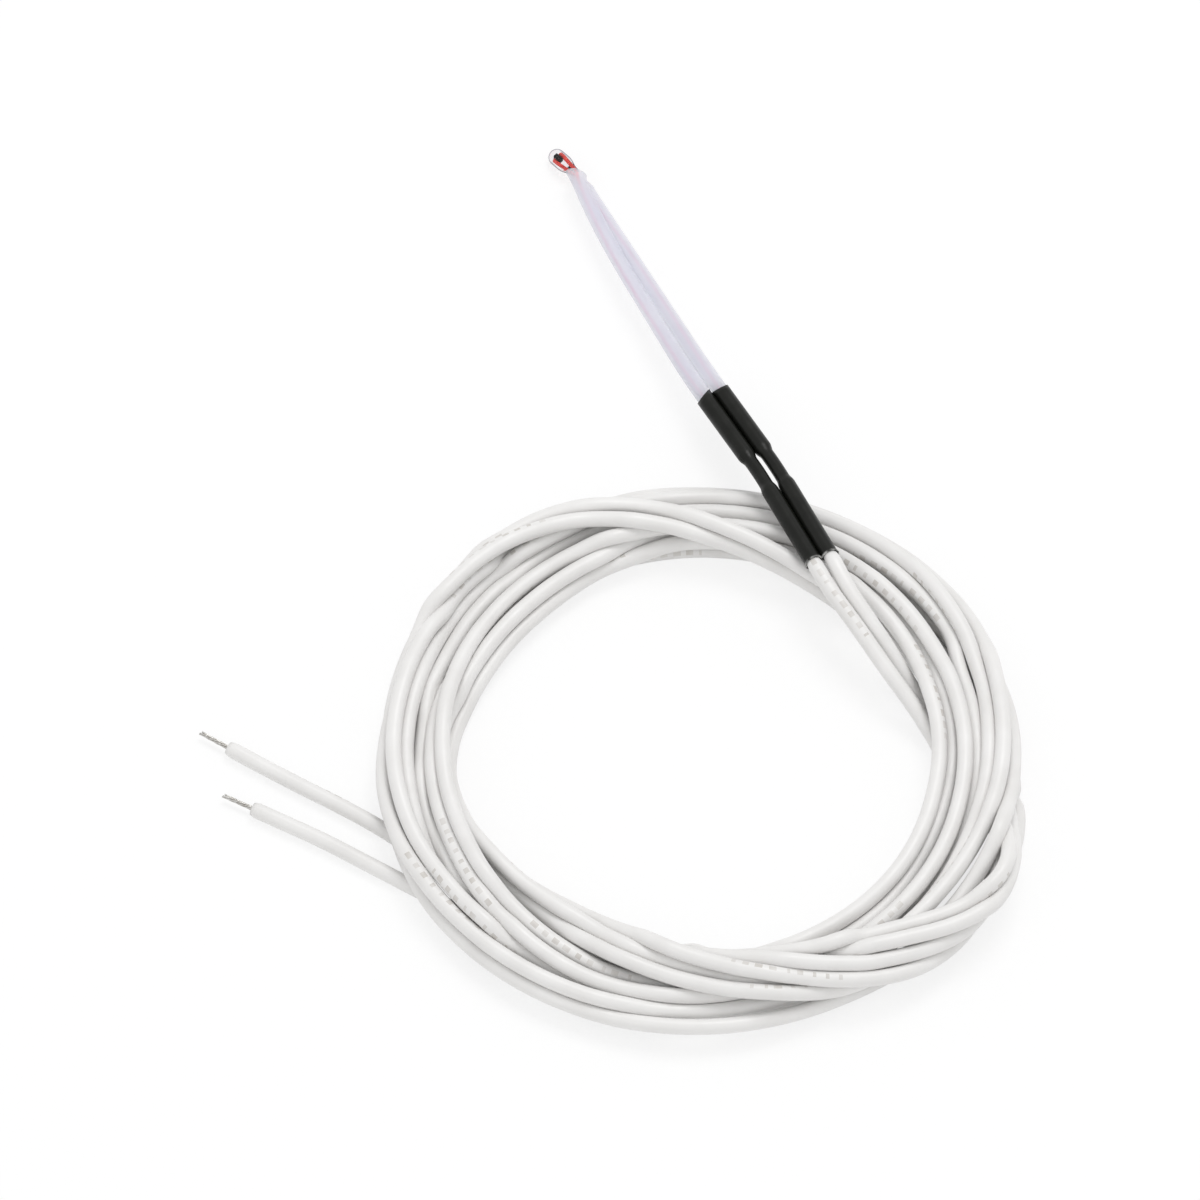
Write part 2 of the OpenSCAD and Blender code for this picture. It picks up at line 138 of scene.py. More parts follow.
# The wires' lanes in the coil, turn by turn, as followed in the photograph. A lane is a list of stations:
# the angle, clockwise from the camera's right-hand side, the radius in mm, as the photograph shows it for a
# wire at SEEN_HEIGHT, and the rank, the order in which strands that cross lie on each other
VIEW_TURN = 27
SEEN_HEIGHT = 2.5 * MM
LAY = {
    LEFT: [
        [(5, 23.6, 0), (30, 23.8, 0), (60, 24.2, 0), (90, 24.8, 0), (120, 25.4, 0), (150, 26.3, 1),
         (168, 26.9, 3), (198, 27.5, 3), (228, 28.1, 3), (247, 28.6, 3), (262, 29.2, 3), (282, 29.4, 3),
         (318, 29.4, 5), (330, 28.7, 5), (342, 27.9, 5)],
        [(-6, 27.2, 5), (6, 26.7, 5), (20, 26.2, 4), (45, 26.3, 3), (65, 26.8, 3), (80, 27.1, 3),
         (102, 27.4, 4), (120, 27.6, 5), (138, 27.95, 5), (150, 28.4, 5), (162, 29, 5), (174, 29.3, 5),
         (184, 29, 4.5), (194, 28.8, 3.5), (204, 29.3, 3.5), (214, 30, 4.5), (224, 30.4, 6), (234, 30.15, 7),
         (246, 29.1, 7.5), (252, 28.1, 7.5), (264, 26.2, 7.5), (276, 24.4, 7), (286, 23.2, 7), (300, 22.1, 7),
         (310, 21.9, 4), (325, 22.8, 1), (338, 24, 0)],
        [(-10, 26.2, 0), (0, 27.4, 0), (10, 28.9, 0), (18, 30, 0), (28, 30.2, 0), (42, 29.5, 1),
         (60, 28.9, 2), (80, 28.9, 4), (110, 29.1, 4), (132, 29.2, 4), (150, 29.3, 3), (170, 28.9, 0),
         (190, 28.6, 0), (204, 29.2, 0.5), (216, 29.9, 1.5), (228, 30.5, 4), (238, 30.8, 6.5),
         (246, 30.5, 7.5), (252, 29.8, 7.5), (258, 28.9, 7.5), (276, 26, 7.5), (288, 24.4, 7.5),
         (298, 23.3, 7), (306, 23, 5), (320, 23.6, 1), (335, 24.4, 0)],
        [(-10, 25, 0), (0, 26, 0), (8, 27.4, 0), (14, 28.9, 2), (20, 30.2, 4), (26, 30.8, 6), (31, 30.2, 7),
         (36, 28.9, 7), (42, 27.15, 7), (48, 25.5, 7), (54, 24.3, 7), (60, 23.35, 6.5), (72, 22.1, 5),
         (84, 21.4, 3.5), (100, 21.5, 1.5), (115, 22.8, 1), (132, 24.6, 2), (150, 26, 2), (174, 25.9, 2),
         (186, 25.7, 2), (210, 26.15, 2), (228, 26.8, 3), (240, 27.15, 3), (268, 27.7, 3), (300, 27.9, 4),
         (318, 27.8, 4), (334, 27.33, 3.06)],
        [(-25, 26.23, 2.25), (0, 25.9, 2.5), (20, 25.7, 2.5), (40, 26.4, 2), (60, 27.2, 1), (80, 27.9, 1),
         (100, 27.3, 1), (116, 26.4, 3), (138, 26.25, 6), (150, 26.75, 6), (162, 27.5, 6), (180, 28.3, 6),
         (198, 28.8, 6), (210, 29.1, 5), (228, 29.35, 4), (240, 29.3, 2), (260, 29.2, 0), (300, 29.2, 0),
         (316, 29.6, 1), (326, 29.8, 3), (338, 29.4, 5)],
        [(-10, 28.75, 6), (6, 27.9, 6), (24, 26.8, 6), (36, 26.3, 5), (55, 26, 5), (68, 25.7, 5),
         (78, 24.5, 5), (90, 22.7, 5), (102, 21.4, 5), (120, 20.5, 5), (132, 20.55, 5), (144, 21.2, 4),
         (156, 22, 3), (165, 23.2, 1), (177, 23.5, 0.5), (190, 22.9, 2), (200, 22.3, 3), (210, 22, 3),
         (228, 22.1, 3), (240, 22.6, 3), (264, 24.4, 3), (285, 24.8, 3), (312, 24.2, 5), (324, 23.6, 5),
         (336, 23.1, 5)],
        [(-8, 22.6, 6), (12, 22, 6), (42, 21.8, 5), (60, 21.7, 4), (75, 21.8, 2), (90, 22.5, 0),
         (120, 24.3, 0), (140, 25.2, 0)],
    ],
    RIGHT: [
        [(5, 25.1, 0), (40, 25.2, 0), (70, 24.8, 1), (98, 24.6, 3), (112, 24.4, 4), (120, 23.9, 5),
         (132, 23.45, 5), (150, 23, 5), (162, 23.15, 5), (180, 23.7, 5), (192, 24.3, 5), (210, 24.9, 5),
         (240, 25.7, 4), (262, 26.2, 3), (300, 26.3, 4), (318, 25.8, 5), (330, 25.3, 5)],
        [(-8, 24.9, 6), (12, 24.5, 6), (48, 24.3, 5), (62, 24.6, 3), (76, 25.2, 3), (90, 25.7, 4),
         (112, 25.75, 5), (126, 25.1, 5), (144, 24.6, 4), (156, 24.4, 4), (180, 24.7, 4), (192, 24.8, 3),
         (204, 24.7, 1.5), (220, 24.6, 0), (240, 25, 0), (270, 26.2, 0), (300, 27.4, 1), (330, 27.8, 1)],
        [(-8, 27, 1), (6, 27.9, 1), (12, 29, 2), (18, 30.4, 4), (24, 31.3, 6), (30, 31.5, 7.5), (35, 30.8, 8),
         (39, 29.75, 8), (48, 26.95, 8), (54, 25.6, 8), (60, 24.4, 7), (72, 22.6, 5.5), (84, 21.6, 4),
         (100, 21.3, 2), (120, 21.8, 1), (150, 24, 0), (165, 25.9, 0.5), (180, 27, 1.2), (215, 26.5, 0.8),
         (240, 25.4, 0.3), (280, 25.6, 0), (330, 26.4, 0)],
        [(-8, 26.4, 1), (4, 27.2, 1), (14, 28.6, 1), (24, 30.2, 3), (30, 30.9, 4.5), (36, 31, 6),
         (42, 30.2, 7), (48, 28.8, 7), (60, 25.9, 7), (66, 24.3, 7), (72, 22.95, 7), (78, 22, 5.5),
         (88, 21.1, 4), (102, 20.9, 2), (120, 21.3, 0.5), (138, 22, 0), (150, 23, 0), (162, 24.4, 0),
         (175, 25.5, 0), (225, 25.5, 0), (255, 24.3, 0), (285, 23.5, 0), (310, 24.4, 0), (330, 25.9, 0)],
        [(-8, 27.6, 0), (6, 28.2, 0), (20, 29.6, 1), (30, 30.6, 2), (39, 31, 4), (48, 30.5, 6),
         (54, 29.3, 6), (60, 27.8, 6), (72, 24.6, 6), (78, 23.3, 6), (90, 21.4, 5), (102, 20, 4.4),
         (112, 19.75, 3.8), (126, 19.9, 3.2), (140, 20.8, 2), (152, 22.1, 1), (162, 24, 0), (174, 26.4, 0),
         (190, 27.6, 0), (215, 28.2, 0), (260, 27.9, 0), (300, 28, 0), (335, 28.7, 1.5), (346, 29.2, 3)],
        [(-6, 29.3, 5), (6, 29.1, 5), (24, 28.6, 5), (36, 28.3, 5), (52, 28.6, 5), (62, 28.2, 6),
         (72, 26.7, 6), (78, 25.7, 6), (90, 24.2, 6), (102, 22.95, 6), (114, 22.2, 6), (126, 21.9, 5),
         (138, 22.05, 4), (148, 22.4, 3), (158, 23.4, 1.5), (170, 24.3, 1), (182, 24.3, 1), (194, 23.8, 2),
         (204, 23.4, 3.5), (214, 23.35, 4), (228, 23.55, 4), (240, 24, 4), (262, 25.3, 3), (285, 25.6, 3),
         (318, 24.6, 5), (336, 24.1, 5)],
        [(-8, 23.8, 5), (12, 23.1, 4), (28, 23, 4), (45, 23.4, 4), (62, 23.4, 2), (80, 23.8, 0),
         (110, 25.2, 0), (130, 26.3, 0)],
    ],
}

# How finely the pieces are drawn
RING_STEP = 0.5 * MM
LEAD_STEP = 0.25 * MM
WIRE_SIDES = 16
TUBE_SIDES = 40
LEAD_SIDES = 12
BEAD_SIDES = 48
STRAND_SIDES = 8

# The photograph's view: its height above the floor in degrees, how wide a strip of floor it takes in, and
# the point at its middle
VIEW_ELEVATION = 57.1
VIEW_WIDTH = 111.6 * MM
VIEW_TARGET = Vector((-0.01914, -0.01993, 0.0025))
VIEW_DISTANCE = 3
SENSOR_MM = 36


# Camera

def add_object(name, data):
    item = bpy.data.objects.new(name, data)
    bpy.context.scene.collection.objects.link(item)
    return item


def make_camera():
    turn = math.radians(VIEW_TURN)
    rise = math.radians(VIEW_ELEVATION)
    look = Vector((math.sin(turn) * math.cos(rise), math.cos(turn) * math.cos(rise), -math.sin(rise)))
    data = bpy.data.cameras.new("camera")
    data.sensor_width = SENSOR_MM
    data.lens = SENSOR_MM * VIEW_DISTANCE / VIEW_WIDTH
    camera = add_object("camera", data)
    camera.location = VIEW_TARGET - look * VIEW_DISTANCE
    camera.rotation_euler = look.to_track_quat("-Z", "Y").to_euler()
    bpy.context.scene.camera = camera


# Frames along the probe, each with +Y running towards the bead

def ease(a, b, share):
    """A smooth start and stop on the way from a to b."""
    return a + (b - a) * (1 - math.cos(math.pi * share)) / 2


def rotation(degrees, axis):
    return Matrix.Rotation(math.radians(degrees), 4, axis)


def past_throat(share=1):
    """Frame at a share of the black tubes' narrow stretch, which bends a little."""
    arc = Matrix.Translation((-BEND_R, 0, 0)) @ rotation(NECK_BEND * share, "Z")
    return from_mouth @ Matrix.Translation((0, LOWER_RUN, 0)) @ arc @ Matrix.Translation((BEND_R, 0, 0))


def drift(t):
    """How far both sleeves have moved sideways at a distance t from the black tubes."""
    run = t * t / (2 * SETTLE_RUN) if t < SETTLE_RUN else t - SETTLE_RUN / 2
    return math.tan(math.radians(MOUTH_BEND)) * run


def sleeve_axis(side, t):
    """Middle of a sleeve at a distance t from the black tube."""
    right = Vector((PAIR_HALF + drift(max(t, 0)), t, 0))
    if side == RIGHT:
        return right
    share = max(t, 0) / SLEEVE_RUN
    climb = math.radians(SLEEVE_TWIST * share ** TWIST_POWER)
    pitch = ease(2 * PAIR_HALF, SLEEVE_D + PAIR_GAP, min(1, share / CLOSING_SHARE))
    return right + pitch * Vector((-math.cos(climb), 0, math.sin(climb)))


from_mouth = Matrix.Translation(MOUTH) @ rotation(-SLOPE, "X") @ rotation(-NECK_BEND / 2, "Z")
from_upper_end = past_throat() @ Matrix.Translation((0, UPPER_RUN, 0))
sleeve_ends = (sleeve_axis(LEFT, SLEEVE_RUN) + sleeve_axis(RIGHT, SLEEVE_RUN)) / 2
neck_centre = Vector(
    (sleeve_ends.x + drift(NECK_GAP + SETTLE_RUN / 2), SLEEVE_RUN + NECK_GAP, sleeve_ends.z))
in_neck = (Matrix.Translation(neck_centre) @ rotation(BEAD_BEND - MOUTH_BEND, "Z")
           @ rotation(-BEAD_DROOP, "X"))
from_neck = from_upper_end @ in_neck


# Mesh helpers

def new_piece(name, points, faces, material, smooth=True):
    mesh = bpy.data.meshes.new(name)
    mesh.from_pydata([tuple(p) for p in points], [], faces)
    mesh.validate()
    if smooth:
        mesh.shade_smooth()
    mesh.materials.append(material)
    return add_object(name, mesh)


def steps_between(first, last, count):
    return [first + (last - first) * k / (count - 1) for k in range(count)]


def angles_round(sides):
    return [2 * math.pi * k / sides for k in range(sides)]


def spline(points, step):
    """Points a step apart on a smooth curve through the given ones."""
    knots = np.array([tuple(p) for p in points], float)
    ends = np.vstack([2 * knots[0] - knots[1], knots, 2 * knots[-1] - knots[-2]])
    curve = []
    for a, b, c, d in zip(ends, ends[1:], ends[2:], ends[3:]):
        count = max(2, math.ceil(np.linalg.norm(c - b) / step))
        for t in np.arange(count) / count:
            curve.append(b + 0.5 * t * (c - a + t * (2 * a - 5 * b + 4 * c - d + t * (3 * (b - c) + d - a))))
    curve.append(knots[-1])
    return np.array(curve)


def spaced(points, step):
    """The same line with its points an equal step apart, and how far along it each one is."""
    gaps = np.linalg.norm(np.diff(points, axis=0), axis=1)
    run = np.concatenate([[0], np.cumsum(gaps)])
    along = np.linspace(0, run[-1], max(2, round(run[-1] / step)))
    return np.column_stack([np.interp(along, run, points[:, i]) for i in range(3)]), along


def rings_along(line, radii, sides, first_side):
    """Circles of points square to a line, turned as little as possible from one to the next."""
    tangents = np.gradient(line, axis=0)
    tangents /= np.linalg.norm(tangents, axis=1)[:, None]
    side = np.array(first_side, float)
    angles = 2 * math.pi * np.arange(sides) / sides
    rings = []
    for centre, tangent, r in zip(line, tangents, radii):
        side = side - tangent * side.dot(tangent)
        side /= np.linalg.norm(side)
        up = np.cross(side, tangent)
        rings.append(centre + r * (np.outer(np.cos(angles), side) + np.outer(np.sin(angles), up)))
    return np.array(rings)


def skin_faces(count, sides, closed=False):
    """Quads between rings, with a flat cap at each end unless the rings close on themselves."""
    faces = []
    for i in range(count if closed else count - 1):
        for k in range(sides):
            a = i * sides + k
            b = i * sides + (k + 1) % sides
            c = (i + 1) % count * sides + (k + 1) % sides
            d = (i + 1) % count * sides + k
            faces.append((a, b, c, d))
    if not closed:
        faces.append(tuple(range(sides))[::-1])
        faces.append(tuple((count - 1) * sides + k for k in range(sides)))
    return faces


def outward(piece):
    """Turns a closed piece's faces outwards."""
    bm = bmesh.new()
    bm.from_mesh(piece.data)
    bmesh.ops.recalc_face_normals(bm, faces=bm.faces)
    bm.to_mesh(piece.data)
    bm.free()
    return piece


def store(piece, name, values):
    """Keeps a value at each point of a piece for its material."""
    attribute = piece.data.attributes.new(name, "FLOAT", "POINT")
    attribute.data.foreach_set("value", values.astype(np.float32))


def replace(piece, slot, *nodes):
    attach(piece, "root")
    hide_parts(*nodes)
    return piece


# Wires

# How far a wire runs straight on from the mouth of its black tube
STRAIGHT_OUT = 1.2 * MM


def polar(line):
    """Angle, radius and height of points about the coil's centre."""
    x = line[:, 0] - COIL_CENTRE.x
    y = line[:, 1] - COIL_CENTRE.y
    angle = (-np.degrees(np.arctan2(y, x)) - VIEW_TURN) % 360
    return angle, np.hypot(x, y), line[:, 2]


def from_polar(angle, radius, height):
    turn = -np.radians(angle + VIEW_TURN)
    return np.column_stack(
        [COIL_CENTRE.x + radius * np.cos(turn), COIL_CENTRE.y + radius * np.sin(turn), height])


def exit_line(side):
    """Route of a wire from its splice through the black tube and down to the coil."""
    stops = (WIRE_GRIP, WIRE_GRIP / 2, 0, -STRAIGHT_OUT)
    held = [from_mouth @ Vector((side * PAIR_HALF, y, 0)) for y in stops]
    free = [Vector((MOUTH.x + p[0], MOUTH.y + p[1], p[2])) for p in EXIT_ROUTE[side]]
    return spline(held + free, RING_STEP)


def tail_line(side):
    return spline([COIL_CENTRE + Vector(p) for p in TAIL_ROUTE[side]], RING_STEP)


# The coil is settled on a grid of whole degrees, from under the black tubes to where the tails leave
GRID_START = -54
TURNS = 6
TAIL_LEAVES = 158
GRID_END = 360 * TURNS + TAIL_LEAVES
PASSES = math.ceil((GRID_END - GRID_START + 1) / 360)

# The grid's ends are held on the free wires' routes, which are read ROUTE_SPAN degrees each way. Up to
# EXIT_LANDS an exit lies on top of the coil. From there it counts as its lowest strand, as the tails do
EXIT_FREE = -8
EXIT_LANDS = -27
TAIL_HELD = {LEFT: 151, RIGHT: 139}
ROUTE_SPAN = 60
BELOW_ALL = -1
ABOVE_ALL = 10

# How much higher each rank starts than the one below, and how far back on the floor a wire looks to lie
# for each mm that it is raised
RANK_RISE = 0.52 * MM
SEEN_SLOPE = 1 / math.tan(math.radians(VIEW_ELEVATION))

# In each step the strands are drawn to their lanes, most firmly from SEEN_RANK up, and sink a little
SETTLE_STEPS = 220
LANE_PULL = 0.3
SEEN_RANK = 3
LEAST_FIRM = 0.06
HEIGHT_PULL = 0.06
SINK = 0.01 * MM
SMOOTH_SPAN = 5

# Then they are pushed apart, up or down where their ranks differ by more than RANK_APART, and otherwise
# straight away from each other
PUSHES = 3
CONTACT = 1.5 * MM
RANK_APART = 0.9
LIFT_LIMIT = 0.4 * MM
LIFT_SHARE = 0.3
APART_SHARE = 0.35
LEAST_REACH = 1e-6
TOP_HEIGHT = 6.3 * MM


def smooth_run(values, span):
    """Moving average that keeps the ends in place."""
    kernel = np.hanning(2 * span + 1)
    kernel /= kernel.sum()
    before = 2 * values[0] - values[span:0:-1]
    after = 2 * values[-1] - values[-2:-span - 2:-1]
    return np.convolve(np.concatenate([before, values, after]), kernel, "valid")


def lay_stations(side, angle):
    """Seen radius and rank of one wire on the grid."""
    stations = [(360 * turn + at, radius * MM, rank)
                for turn, lane in enumerate(LAY[side]) for at, radius, rank in lane]
    at, radius, rank = np.array(stations).T
    return smooth_run(np.interp(angle, at, radius), SMOOTH_SPAN), np.interp(angle, at, rank)


def hold_ends(angle, radius, height, rank):
    """Puts the grid's ends on the free wires' routes, and says where they are held."""
    held = np.zeros(radius.shape, bool)
    for row, side in enumerate(SIDES):
        for line, first, last in (
                (exit_line(side), GRID_START, EXIT_FREE),
                (tail_line(side), GRID_END - TAIL_LEAVES + TAIL_HELD[side], GRID_END)):
            line_angle, line_radius, line_height = polar(line)
            cells = (angle >= first) & (angle <= last)
            at = angle[cells] % 360
            use = np.abs(line_angle - at.mean()) < ROUTE_SPAN
            order = np.argsort(line_angle[use])
            held[row] |= cells
            radius[row, cells] = np.interp(at, line_angle[use][order], line_radius[use][order])
            height[row, cells] = np.interp(at, line_angle[use][order], line_height[use][order])
            rank[row, cells] = BELOW_ALL
        rank[row, angle < EXIT_LANDS] = ABOVE_ALL
    return held


def by_strand(values, missing=0.0):
    """The wires' values on the grid cut into strands of one turn, a row for each."""
    grid = np.full((len(SIDES), PASSES * 360), missing)
    grid[:, :values.shape[1]] = values
    return grid.reshape(-1, 360)


def by_wire(strands, count):
    return strands.reshape(len(SIDES), -1)[:, :count]


def soften(values):
    """Takes half of the roughness out of each wire's values."""
    for row in values:
        row += 0.5 * (smooth_run(row, SMOOTH_SPAN) - row)


def pushes(across, up, slant, level, live):
    """How far each strand is pushed aside and up by the others that it touches."""
    aside, rise = np.zeros_like(across), np.zeros_like(up)
    for a, b in combinations(range(len(across)), 2):
        width = (slant[a] + slant[b]) / 2
        gap = (across[b] - across[a]) * width
        lift = up[b] - up[a]
        reach = np.hypot(gap, lift)
        near = live[a] & live[b] & (reach < CONTACT)
        order = level[b] - level[a]
        sign = np.where(np.abs(order) > RANK_APART, np.sign(order), 0)
        wanted = sign * np.sqrt(np.maximum(CONTACT ** 2 - np.minimum(np.abs(gap), CONTACT) ** 2, 0))
        stack = np.where(near & (sign != 0) & (sign * lift < sign * wanted), wanted - lift, 0)
        stack = np.clip(stack, -LIFT_LIMIT, LIFT_LIMIT) * LIFT_SHARE
        reach = np.maximum(reach, LEAST_REACH)
        share = np.where(near & (sign == 0), (CONTACT - reach) / reach, 0) * APART_SHARE
        rise[a] -= stack + share * lift
        rise[b] += stack + share * lift
        aside[a] -= share * gap
        aside[b] += share * gap
    return aside, rise


def settle_coil():
    """Lays both wires along their lanes and pushes strands that touch apart, the higher rank on top. A few
    crossings that lie under other strands still run into each other. Gives the grid's angles and, per
    wire, the radius and height there."""
    angle = np.arange(GRID_START, GRID_END + 1)
    seen, rank = np.array([lay_stations(side, angle) for side in SIDES]).transpose(1, 0, 2)
    firm = np.clip(rank / SEEN_RANK, LEAST_FIRM, 1)
    rank_height = np.array([smooth_run(WIRE_R + RANK_RISE * row, 3 * SMOOTH_SPAN) for row in rank])
    tilt = SEEN_SLOPE * np.sin(np.radians(angle))
    height = rank_height.copy()
    radius = seen + tilt * (height - SEEN_HEIGHT)
    held = hold_ends(angle, radius, height, rank)
    held_radius, held_height = radius[held], height[held]
    lean = np.cos(np.arctan2(np.gradient(seen, axis=1), seen * math.radians(1)))
    slant, level = by_strand(lean, 1.0), by_strand(rank)
    live = by_strand(np.ones(seen.shape)) > 0
    for step in range(SETTLE_STEPS):
        radius += LANE_PULL * firm * (seen + tilt * (height - SEEN_HEIGHT) - radius)
        height += (HEIGHT_PULL * (rank_height - height) - SINK) * (1 - step / SETTLE_STEPS)
        soften(radius)
        soften(height)
        across, up = by_strand(radius), by_strand(height)
        for _ in range(PUSHES):
            aside, rise = pushes(across, up, slant, level, live)
            across += aside
            up = np.clip(up + rise, WIRE_R, TOP_HEIGHT)
        radius, height = by_wire(across, len(angle)), by_wire(up, len(angle))
        radius[held] = held_radius
        height[held] = held_height
    return angle, radius, height


# Angles where a wire goes over from its free routes to the coil and back, just off the grid's ends
EXIT_JOINS = GRID_START % 360 - 2
TAIL_JOINS = TAIL_LEAVES + 1

# Past the splice's grip the whole line is smoothed once more
LINE_SPAN = 4
LINE_EASE = 2 * MM

# A wire swells to its full width past the black tube's grip, and the edge at its far end is rounded
SWELL_RUN = 0.3 * MM
END_RUN = 0.25 * MM
END_ROUND = 0.12 * MM

# The solids that each drawn wire stands in the place of
WIRE_NODES = {
    LEFT: ("wire_exit_left", "wire_tail_left", "wire_coil"),
    RIGHT: ("wire_exit_right", "wire_tail_right"),
}

# The printed line turns to and fro round the wire in two waves, a wide one and a quick one. Each has its
# reach in degrees and its length for one radian. PRINT_SHIFT sets the two wires' prints apart
WIDE_ROLL = 70
WIDE_RUN = 37 * MM
QUICK_ROLL = 40
QUICK_RUN = 11 * MM
PRINT_SHIFT = 7 * MM


def wire_line(side, angle, radius, height):
    """Centreline of one wire from its splice to the end of its insulation, and the distance along it."""
    first, last = exit_line(side), tail_line(side)
    reached = np.argmax(polar(first)[0] > EXIT_JOINS)
    left = np.argmax(polar(last)[0] > TAIL_JOINS)
    line = np.vstack([first[:reached], from_polar(angle, radius, height), last[left:]])
    line, along = spaced(line, RING_STEP)
    soft = np.column_stack([smooth_run(line[:, i], LINE_SPAN) for i in range(3)])
    free = np.clip((along - WIRE_GRIP) / LINE_EASE, 0, 1)[:, None]
    line = line + free * (soft - line)
    line[:, 2] = np.maximum(line[:, 2], WIRE_R)
    return spaced(line, RING_STEP)


def wire_radii(along):
    swell = np.clip((along - WIRE_GRIP) / SWELL_RUN, 0, 1)
    edge = np.clip(1 - (along[-1] - along) / END_RUN, 0, 1)
    return GRIPPED_R + (WIRE_R - GRIPPED_R) * swell - END_ROUND * edge ** 2


def make_wires(material):
    """Gives each side's wire with its centreline and how far along it each point is."""
    angle, radius, height = settle_coil()
    wires = {}
    for row, side in enumerate(SIDES):
        line, along = wire_line(side, angle, radius[row], height[row])
        rings = rings_along(line, wire_radii(along), WIRE_SIDES, (0, 0, 1))
        faces = skin_faces(len(line), WIRE_SIDES)
        wire = new_piece(f"wire_{SIDES[side]}", rings.reshape(-1, 3), faces, material)
        store_print_guide(wire, along, side)
        replace(wire, "wire_insulation", *WIRE_NODES[side])
        wires[side] = (wire, line, along)
    return wires


def store_print_guide(wire, along, side):
    """Stores how far along the wire each point is, and where it is across the printed line."""
    roll = math.radians(WIDE_ROLL) * np.sin(along / WIDE_RUN + side)
    roll += math.radians(QUICK_ROLL) * np.sin(along / QUICK_RUN)
    angles = np.array(angles_round(WIRE_SIDES)) - roll[:, None]
    store(wire, "along", np.repeat(along + side * PRINT_SHIFT, WIRE_SIDES))
    store(wire, "across", np.sin(angles).ravel())
    store(wire, "facing", np.cos(angles).ravel())


# Materials

class Shader:
    """A Principled material and short calls that add nodes to it."""

    def __init__(self, name, **settings):
        self.material = bpy.data.materials.new(name)
        self.material.use_nodes = True
        self.nodes = self.material.node_tree.nodes
        self.links = self.material.node_tree.links
        self.base = self.nodes["Principled BSDF"]
        self.output = self.nodes["Material Output"]
        for socket, value in settings.items():
            self.base.inputs[socket.replace("_", " ")].default_value = value

    def node(self, kind, operation=None, **inputs):
        """New node with its inputs set or linked. They are named, or numbered as i0, i1 and i2."""
        node = self.nodes.new(kind)
        if operation:
            node.operation = operation
        for key, value in inputs.items():
            numbered = key[0] == "i" and key[1:].isdigit()
            self.put(node.inputs[int(key[1:]) if numbered else key.replace("_", " ")], value)
        return node

    def put(self, socket, value):
        if isinstance(value, bpy.types.NodeSocket):
            self.links.new(value, socket)
        else:
            socket.default_value = value

    def math(self, operation, a, b=0.0, c=0.0):
        return self.node("ShaderNodeMath", operation, i0=a, i1=b, i2=c).outputs[0]

    def attribute(self, name):
        node = self.nodes.new("ShaderNodeAttribute")
        node.attribute_name = name
        return node.outputs["Fac"]

    def place(self, stretch=(1, 1, 1)):
        """The point's place in the part's frame, stretched."""
        position = self.node("ShaderNodeNewGeometry").outputs["Position"]
        node = self.node("ShaderNodeMapping", Vector=position)
        node.inputs["Scale"].default_value = stretch
        return node.outputs[0]

    def noise(self, scale, detail=3.0, roughness=0.5, vector=None):
        node = self.node("ShaderNodeTexNoise", Scale=scale, Detail=detail, Roughness=roughness)
        self.links.new(vector or self.place(), node.inputs["Vector"])
        return node.outputs["Fac"]

    def ramp(self, value, *stops):
        node = self.node("ShaderNodeValToRGB", Fac=value)
        elements = node.color_ramp.elements
        while len(elements) < len(stops):
            elements.new(0.5)
        for element, (position, colour) in zip(elements, stops):
            element.position = position
            element.color = colour if len(colour) == 4 else (*colour, 1)
        return node.outputs["Color"]

    def mix(self, share, a, b):
        node = self.nodes.new("ShaderNodeMix")
        node.data_type = "RGBA"
        self.put(node.inputs["Factor"], share)
        self.put(node.inputs[6], a if isinstance(a, bpy.types.NodeSocket) else (*a, 1))
        self.put(node.inputs[7], b if isinstance(b, bpy.types.NodeSocket) else (*b, 1))
        return node.outputs[2]

    def bump(self, height, distance, strength=1.0):
        node = self.node("ShaderNodeBump", Strength=strength, Distance=distance, Height=height)
        self.links.new(node.outputs[0], self.base.inputs["Normal"])

    def feed(self, socket, value):
        self.links.new(value, self.base.inputs[socket])

    def vary(self, socket, scale, low, high, detail=3, stops=(0.3, 0.7)):
        """Feeds a socket with noise that runs between two colours or two plain values."""
        colours = [value if isinstance(value, tuple) else (value,) * 3 for value in (low, high)]
        self.feed(socket, self.ramp(self.noise(scale, detail), *zip(stops, colours)))


# The print on the wires: groups of faint dashes, each a random share of DASH_PERIOD long
GROUP_PERIOD = 43 * MM
GROUP_LEN = 11.5 * MM
DASH_PERIOD = 1.25 * MM
DASH_LEAST = 0.2
DASH_VARIES = 0.42
DASH_BAND = 0.34


